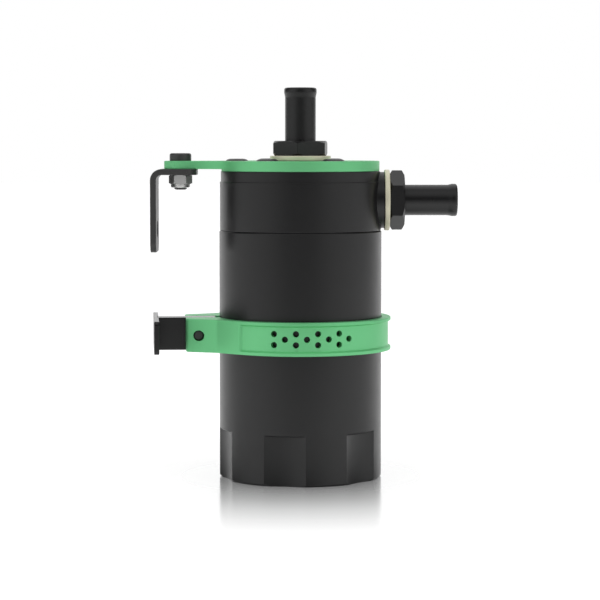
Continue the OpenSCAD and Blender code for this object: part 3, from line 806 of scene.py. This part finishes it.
def make_clamp_screw():
    """The collar's cap screw, along Y, with its head in the back ear."""
    head_radius = 3.5 * MM
    head_soft = 0.4 * MM
    flat_r = 2 * MM                 # the head's flat top
    shank_r = 2 * MM
    chamfer = 0.45 * MM
    under_head = clamp_seat_y - clamp_tip_y
    length = under_head + clamp_head_h
    thread_depth = 0.3 * MM
    pitch = 0.7 * MM
    thread_low, thread_high = 0.4 * MM, under_head * 0.6
    socket_flats = 3 * MM
    socket_floor = length - 2.2 * MM
    shank = [(0, 0), (shank_r - chamfer, 0)]
    shank += thread(shank_r, -thread_depth, thread_low, thread_high, pitch)
    head = eased([(shank_r, under_head - MM, 0), (shank_r, under_head, 0),
                  (head_radius, under_head, 0.1 * MM), (head_radius, length, head_soft),
                  (flat_r, length, 0)])
    screw = socket_screw("clamp_screw_piece", shank + head, socket_flats, socket_floor)
    along_y = Matrix.Translation((clamp_x, clamp_tip_y, collar_mid)) @ Matrix.Rotation(-pi / 2, 4, "X")
    finish(screw, "clamp_screw", black_oxide, collar_turn @ along_y)


# Hose fittings and their seals

def hose_fitting(name, turn):
    """A hose fitting standing on Z: port stub, hexagon, hose tail and bead, bored through.
    Its hexagon is turned by turn degrees."""
    stub = 12 * MM                  # in the port
    stub_r = 8.3 * MM
    neck = 1.4 * MM                 # between the stub and the hexagon, inside the seal
    neck_r = 7.4 * MM
    flats = 20.2 * MM
    hex_h = 5.8 * MM
    tail_r = 6 * MM
    tip = 26.5 * MM
    bead_r = 6.35 * MM
    bead = 2 * MM
    rise = 1.7 * MM                 # from the tail up to the bead
    bore = 4.5 * MM
    reach = hexagon_reach(flats, 0.3 * MM, turn)
    start_r = flats / 2 * CORNER_START
    inside = eased([(start_r, 0, 0), (neck_r, 0, 0), (neck_r, -neck, 0), (stub_r, -neck, 0.3 * MM),
                    (stub_r, -stub, 0.8 * MM), (bore, -stub, 0.3 * MM), (bore, tip, 0.4 * MM),
                    (bead_r, tip, 0.9 * MM), (bead_r, tip - bead, 2 * MM),
                    (tail_r, tip - bead - rise, 3 * MM), (tail_r, hex_h, 0), (start_r, hex_h, 0)])
    sides = [(reach, chamfered(reach, start_r, hex_h, 1)), (reach, chamfered(reach, start_r, 0, -1))]
    ring_gap = 3 * MM               # between the rings up the straight walls
    turns = hexagon_turns(turn, corner=1.2)
    return turned(name, in_steps(inside, ring_gap) + sides, ring=True, turns=turns)


def bonded_seal(name):
    """The washer and rubber lip of a bonded seal, below z = 0."""
    thick = 2 * MM
    lip_out = 9.35 * MM             # where the lip is bonded to the washer
    lip_in = 8.4 * MM
    clear = 0.02 * MM
    washer = turned(name + "_washer_piece", eased([
        (lip_out, -thick, 0.1 * MM), (seal_r, -thick, 0.35 * MM), (seal_r, 0, 0.35 * MM),
        (lip_out, 0, 0.1 * MM)]), ring=True)
    lip = turned(name + "_lip_piece", eased([
        (lip_in, -0.65 * thick, 0.15 * MM), (lip_out - clear, -thick, 0), (lip_out - clear, 0, 0),
        (lip_in, -0.35 * thick, 0.15 * MM)]), ring=True)
    return washer, lip


def make_fittings():
    """The top and the side fitting, each on its seal; their hexagons stop at different turns."""
    at_top = Matrix.Translation((0, 0, washer_high.z))
    at_side = Matrix.Translation((side_washer_high.x, 0, side_port_z)) @ Matrix.Rotation(pi / 2, 4, "Y")
    top_turn, side_turn = 24.5, 0
    for end, place, black, turn in (("top", at_top, black_turned, top_turn),
                                    ("side", at_side, black_turned_side, side_turn)):
        fitting = hose_fitting(end + "_fitting_piece", turn)
        finish(fitting, end + "_fitting", black, place)
        washer, lip = bonded_seal(end + "_seal")
        finish(washer, end + "_seal_washer", yellow_zinc, place)
        finish(lip, end + "_seal_lip", rubber, place)


# The L-bracket

def make_angle_bracket():
    """A strip of sheet with rounded ends, folded once."""
    sheet = 2.3 * MM
    fold = 4.4 * MM                 # outer radius of the fold
    corner = 4 * MM
    soft = 0.3 * MM
    least_soft = 0.01 * MM
    fixing_r = 3.3 * MM
    fixing_up = 9 * MM              # from the hanging leg's end
    end_steps, bend_steps = 10, 24
    half_w = angle_high.y
    mid_r = fold - sheet / 2
    flat = angle_high.x - angle_low.x - fold
    drop = angle_high.z - angle_low.z - fold
    bend = mid_r * pi / 2
    length = flat + bend + drop

    def middle(s):
        """Middle and outward normal of the sheet, s metres along it from the flat leg's end."""
        turn = min(pi / 2, max(0.0, (s - flat) / mid_r))
        out = Vector((-sin(turn), 0, cos(turn)))
        centre = Vector((angle_low.x + fold, 0, angle_high.z - fold))
        straight = Vector((max(0.0, flat - s), 0, -max(0.0, s - flat - bend)))
        return centre + out * mid_r + straight, out

    def section(s, thin):
        """The strip cut across at s, its four faces moved in by thin."""
        end = max(0.0, corner - min(s, length - s))
        half = half_w - corner + sqrt(max(0.0, corner ** 2 - end ** 2)) - thin
        centre, out = middle(s)
        r, t = max(least_soft, soft - thin), sheet / 2 - thin
        return [centre + Vector((0, y, 0)) + out * z
                for y, z in eased([(-half, -t, r), (half, -t, r), (half, t, r), (-half, t, r)])]

    ends = [(rise, back) for back, rise in rounded_edge(soft)]
    ends += [(soft + (corner - soft) * (1 - cos(pi / 2 * i / end_steps)), 0)
             for i in range(1, end_steps + 1)]
    stations = ends + [(flat + bend * i / bend_steps, 0) for i in range(bend_steps + 1)]
    stations += [(length - s, thin) for s, thin in reversed(ends)]
    bracket = folded("angle_bracket_piece", [section(s, thin) for s, thin in stations])
    above, below = arm_under + MM, arm_under - sheet - MM
    carve(bracket, rod("pivot_hole", (pivot.x, 0, below), (pivot.x, 0, above), pivot_hole_r))
    fixing = Vector((angle_low.x - MM, 0, angle_low.z + fixing_up))
    through = Vector((sheet + 2 * MM, 0, 0))
    carve(bracket, rod("fixing_hole", fixing, fixing + through, fixing_r))
    finish(bracket, "angle_bracket", black_coat)


# The collar and its foot

def collar_outline(bore_r):
    """The collar from above, anticlockwise: the outer side from slot round to slot, then the bore."""
    leave = 46.6                    # degrees from -X to where an ear leaves the ring on a tangent
    knee_y = 17 * MM                # where the ear's outer side turns to its end
    end_y = 11.8 * MM
    slot_soft, end_soft, knee_soft = 0.25 * MM, 2 * MM, 5 * MM
    root_steps = 8
    root_gap = 0.3 * MM             # between the points along the tangent, next to the ring
    around_steps, bore_steps = 540, 240
    root = Vector((-collar_r * cos(radians(leave)), collar_r * sin(radians(leave))))
    down = Vector((-sin(radians(leave)), -cos(radians(leave))))
    knee = root + down * ((root.y - knee_y) / -down.y)
    ear = [(-ear_reach, slot_half, slot_soft), (-ear_reach, end_y, end_soft), (knee.x, knee.y, knee_soft)]
    ear += [(*(root + down * root_gap * k), 0) for k in range(root_steps, 0, -1)]
    around = [(x, y, 0) for x, y in arc(0, 0, collar_r, leave - 180, 180 - leave, around_steps)]
    half = degrees(asin(slot_half / bore_r))
    inner = [(x, y, 0) for x, y in arc(0, 0, bore_r, 180 - half, half - 180, bore_steps)]
    return eased([(x, -y, r) for x, y, r in ear] + around + ear[::-1] + inner)


def drill_collar(collar, bore_r):
    """Columns of one and two vents by turns on each side of the collar, and the clamp screw's hole."""
    first_vent, vent_pitch = 61.8, 7.05   # degrees from +X, and from one column to the next
    vent_columns = 8
    vent_r = 1.2 * MM
    vent_rise = 2.1 * MM
    vent_steps = 32
    clamp_seat_r = 3.75 * MM
    beyond = 20 * MM
    vents = []
    for side in (-1, 1):
        for i in range(vent_columns):
            angle = radians(first_vent + vent_pitch * i) * side
            out = Vector((cos(angle), sin(angle), 0))
            start, end = out * (bore_r - MM), out * (collar_r + MM)
            for rise in ((0,) if i % 2 == 0 else (-vent_rise, vent_rise)):
                mid = Vector((0, 0, collar_mid + rise))
                vents.append(rod("vent", start + mid, end + mid, vent_r, vent_steps))
    carve(collar, merge(vents))
    front, seat, back = [(clamp_x, y, collar_mid) for y in (-beyond, clamp_seat_y, beyond)]
    carve(collar, rod("clamp_hole", front, back, clamp_hole_r))
    carve(collar, rod("clamp_seat", seat, back, clamp_seat_r))


def make_collar():
    """The collar: a split ring with two ears, a long shallow recess round it, and vents in the recess."""
    bore_r = can_r + 0.1 * MM
    soft = 0.25 * MM
    recess_h = 8.8 * MM
    recess_turn = radians(136)      # from +X to each of its ends
    corner = 1.3 * MM               # round the corners of its ends
    ramp = 1.6 * MM                 # over which its ends slope down
    # Its lower wall going up, and in reverse its upper one: depth, and distance beyond its half height
    wall = [(0, 0.78 * MM), (0.1 * MM, 0.72 * MM), (0.95 * MM, 0.2 * MM), (1.0 * MM, 0)]
    low, high = collar_low.z, collar_high.z

    def recess(x, y):
        """Share of the recess's depth, and its half height, at a point of the outline."""
        inside = (recess_turn - abs(atan2(y, x))) * collar_r
        if hypot(x, y) < (bore_r + collar_r) / 2:
            return 0.0, recess_h / 2
        reach = min(1.0, max(0.0, inside / ramp))
        run = min(corner, max(0.0, inside))
        half = recess_h / 2 - corner + sqrt(corner ** 2 - (corner - run) ** 2)
        return reach * reach * (3 - 2 * reach), half

    outline = collar_outline(bore_r)
    shares = [recess(x, y) for x, y in outline]
    edge = rounded_edge(soft)
    bm = bmesh.new()

    def add_row(amounts, heights):
        return [bm.verts.new((x, y, z)) for (x, y), z in zip(inset(outline, amounts), heights)]

    count = len(outline)
    rows = [add_row([back] * count, [low + rise] * count) for back, rise in edge]
    for side, steps in ((-1, wall), (1, wall[::-1])):
        rows += [add_row([cut * share for share, _ in shares],
                         [collar_mid + side * (half + out) for _, half in shares]) for cut, out in steps]
    rows += [add_row([back] * count, [high - rise] * count) for back, rise in reversed(edge)]
    skin(bm, rows)
    cap(bm, [rows[0]])
    cap(bm, [rows[-1]])
    collar = new_piece("collar_piece", bm)
    drill_collar(collar, bore_r)
    finish(collar, "collar", green_anodised, collar_turn)


def make_foot():
    """The T-shaped foot: a web between the ears and a flange with two fixing holes."""
    web = 4 * MM                    # half its thickness
    flange = 2 * MM
    reach = 57.6 * MM               # from the can's axis to the flange's outer face
    inner = 33.5 * MM               # and to the web's end
    half_w = 25 * MM
    half_h = (foot_high.z - foot_low.z) / 2
    fixing_y = 18 * MM
    fixing_r = 2.75 * MM
    corner = 1.5 * MM
    soft = 0.3 * MM
    sunk = 0.5 * MM                 # of the web in the flange
    low, high = foot_low.z, foot_high.z
    face = eased([(-half_h, -half_w, corner), (half_h, -half_w, corner), (half_h, half_w, corner),
                  (-half_h, half_w, corner)])
    plate = slab("collar_foot_piece", face, 0, flange, soft,
                 [hole(0, side * fixing_y, fixing_r, 0, flange, 0.15 * MM) for side in (-1, 1)])
    facing = Matrix(((0, 0, 1), (0, 1, 0), (-1, 0, 0))).to_4x4()
    plate.data.transform(Matrix.Translation((-reach, 0, (low + high) / 2)) @ facing)
    start = -reach + flange - sunk
    side = [(start, low), (-inner, low), (-inner, high), (start, high)]
    clamp_hole = hole(clamp_x, collar_mid, clamp_hole_r, -web, web, 0.1 * MM)
    block = slab("web", side, -web, web, soft, [clamp_hole])
    block.data.transform(Matrix.Rotation(pi / 2, 4, "X"))
    finish(merge([plate, block]), "collar_foot", black_milled, collar_turn)


def dress_inner_pieces():
    """The pieces that nobody sees keep their CAD solids, with their own finishes."""
    for node, inner_finish in (("can_o_ring", rubber), ("filter", bronze), ("baffle_plate", bare_metal),
                               ("baffle_screws", bright_zinc)):
        piece = frame["nodes"][node]
        piece.data.materials.clear()
        piece.data.materials.append(inner_finish)


# Table, backdrop, light and camera

def make_table():
    """A white table that keeps the object's shadow, with a reflection that fades away from its foot.
    Reflections in the object see its white fade out in front, where the room is dark."""
    size, thick = 6.0, 0.02
    far = 0.2                       # distance from the foot at which the ramp ends
    corners = [(-size, -size), (size, -size), (size, size), (-size, size)]
    table = slab("table", corners, -thick, 0.0, MM)
    made, shader = new_material("white gloss table")
    where = shader.node("ShaderNodeTexCoord", out="Object")
    flat = shader.node("ShaderNodeVectorMath", {"operation": "MULTIPLY"}, where, (1 / far, 1 / far, 0))
    away = shader.node("ShaderNodeVectorMath", {"operation": "LENGTH"}, flat, out="Value")
    mirror_stops = [(0.0, 0.8), (1.0, 0.0), (0.16, 0.8), (0.2, 0.74), (0.3, 0.6), (0.41, 0.4),
                    (0.52, 0.24), (0.63, 0.1), (0.8, 0.0)]
    mirror_share = grey_ramp(shader, mirror_stops, away)
    veil = shader.node("ShaderNodeEmission", Color=(1, 1, 1, 1), Strength=0.56)
    ground = shader.node("ShaderNodeBsdfDiffuse", Color=(0.75, 0.75, 0.75, 1))
    mirror = shader.node("ShaderNodeBsdfGlossy", Color=(1, 1, 1, 1), Roughness=0.16)
    pale = shader.node("ShaderNodeAddShader", None, ground, veil)
    white = shader.node("ShaderNodeMixShader", None, mirror_share, pale, mirror)
    camera, seen = seen_directly(shader)
    behind = fade(shader.node("ShaderNodeSeparateXYZ", None, where, out="Y"), -0.425, -0.175)
    white_share = (camera + seen * behind).clamp()
    shader.surface(shader.node("ShaderNodeMixShader", None, white_share, ground, white))
    table.data.materials.append(made)


def light_studio():
    """A white backdrop behind the object. The room is dark straight in front of it, bright to
    either side of that, and dark again next to the backdrop, with a soft fill for matt surfaces."""
    fill = 0.7                      # more light for what diffuse rays see
    room_level, room_slope = 0.92, -0.2   # strength on the level, and its change straight up
    world = bpy.data.worlds.new("studio")
    bpy.context.scene.world = world
    world.use_nodes = True
    shader = Shader(world.node_tree)
    toward = shader.node("ShaderNodeSeparateXYZ", None, shader.node("ShaderNodeTexCoord"), out="Y")
    up = toward.output("Z")
    room_stops = [(0.0, 0.06), (1.0, 1.0), (0.03, 0.1), (0.08, 0.55), (0.14, 0.85), (0.25, 1.0),
                  (0.4, 0.8), (0.5, 0.45), (0.6, 0.18), (0.7, 0.05), (0.8, 0.12), (0.9, 0.9)]
    level = grey_ramp(shader, room_stops, toward * 0.5 + 0.5)
    camera, seen = seen_directly(shader)
    white_share = (camera + seen * fade(toward, 0.8, 0.9)).clamp()
    soft_fill = camera.output("Is Diffuse Ray") * fill + 1.0
    strength = (up * room_slope + room_level) * soft_fill
    room = shader.node("ShaderNodeBackground", Color=level, Strength=strength)
    white = shader.node("ShaderNodeBackground", Color=(1, 1, 1, 1), Strength=1.0)
    studio = shader.node("ShaderNodeMixShader", None, white_share, room, white)
    shader.node("ShaderNodeOutputWorld", Surface=studio)


def softbox(name, where, aim, size, watts):
    """A rectangle of light that faces a point."""
    lamp = bpy.data.lights.new(name, "AREA")
    lamp.shape = "RECTANGLE"
    lamp.size, lamp.size_y = size
    lamp.energy = watts
    holder = bpy.data.objects.new(name, lamp)
    holder.location = where
    holder.rotation_euler = (Vector(aim) - Vector(where)).to_track_quat("-Z", "Y").to_euler()
    bpy.context.scene.collection.objects.link(holder)


def set_camera():
    """Square to the side port, a little above the plate, and tilted down a little."""
    distance, height = 0.865, 0.13157
    tilt, heading = 0.0717, 0.00019
    focal_px, frame_px = 2208.0, 600.0
    camera = bpy.data.cameras.new("camera")
    camera.sensor_width = 36.0
    camera.lens = focal_px * camera.sensor_width / frame_px
    camera.clip_start, camera.clip_end = 0.05, 50.0
    holder = bpy.data.objects.new("camera", camera)
    holder.location = (0, -distance, height)
    holder.rotation_euler = (pi / 2 - tilt, 0, heading)
    bpy.context.scene.collection.objects.link(holder)
    bpy.context.scene.camera = holder


set_camera()
make_can()
make_head()
make_plate()
make_plate_screws()
make_pivot_bolt()
make_lock_nut()
make_clamp_screw()
make_fittings()
make_angle_bracket()
make_collar()
make_foot()
dress_inner_pieces()
make_table()
light_studio()
softbox("softbox above", where=(0.0, 0.36, 0.88), aim=(0, 0, 0.06), size=(0.9, 0.7), watts=1.6)

bpy.context.scene.view_settings.view_transform = "Standard"
